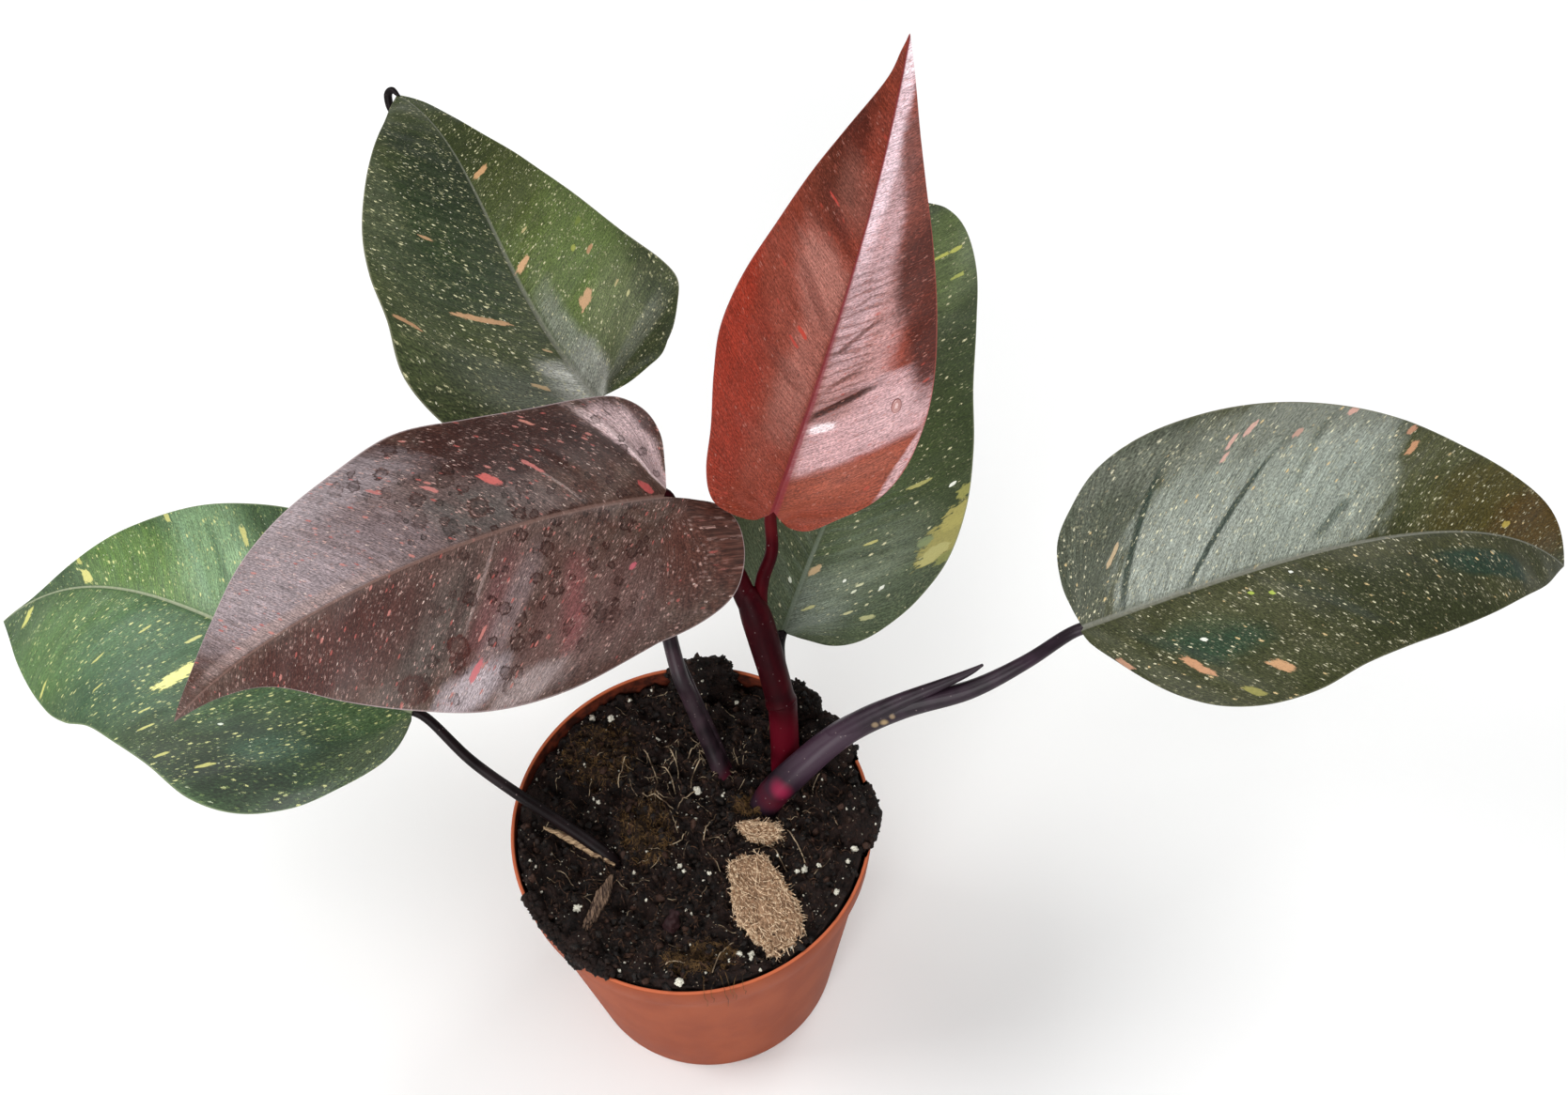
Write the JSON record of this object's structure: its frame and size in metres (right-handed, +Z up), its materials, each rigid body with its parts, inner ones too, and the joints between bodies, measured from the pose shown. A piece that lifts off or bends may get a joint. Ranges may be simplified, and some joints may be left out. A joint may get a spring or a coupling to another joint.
{
  "type": "potted orange princess philodendron",
  "caption": "Young potted philodendron with broad speckled leaves in green, purple and glossy red on wine-dark stalks, in peat soil in a thin terracotta-coloured nursery pot.",
  "frame": {"origin": "centre of the pot's foot, on the surface it stands on", "axes": "+Z up, +X to the right towards the long right leaf, +Y away from the front"},
  "size_m": [0.5181, 0.3277, 0.307],
  "materials": {
    "terracotta_plastic": "matte, faintly grained",
    "peat": "loose damp peat, matt",
    "wine_stem": "satin",
    "dusk_stalk": "satin",
    "green_leaf": "satin, cream flecks",
    "purple_leaf": "satin, coral flecks",
    "red_leaf": "glossy",
    "coir": "coarse pressed fibre",
    "bark": "dry, fibrous",
    "perlite": "matt grains"
  },
  "bodies": {
    "root": {"pot": "terracotta_plastic", "soil": "peat", "main_stem": "wine_stem", "petiole_red": "wine_stem", "petiole_right": "dusk_stalk", "petiole_back_left": "dusk_stalk", "petiole_low_left": "dusk_stalk", "petiole_back_right": "dusk_stalk", "leaf_stub": "wine_stem", "blade_right": "green_leaf", "blade_purple": "purple_leaf", "blade_red": "red_leaf", "blade_back_right": "green_leaf", "blade_back_left": "green_leaf", "blade_low_left": "green_leaf", "coir_plug": "coir", "coir_crumb": "coir", "bark_sliver": "bark", "dry_sheath": "bark"}
  },
  "joints": []
}
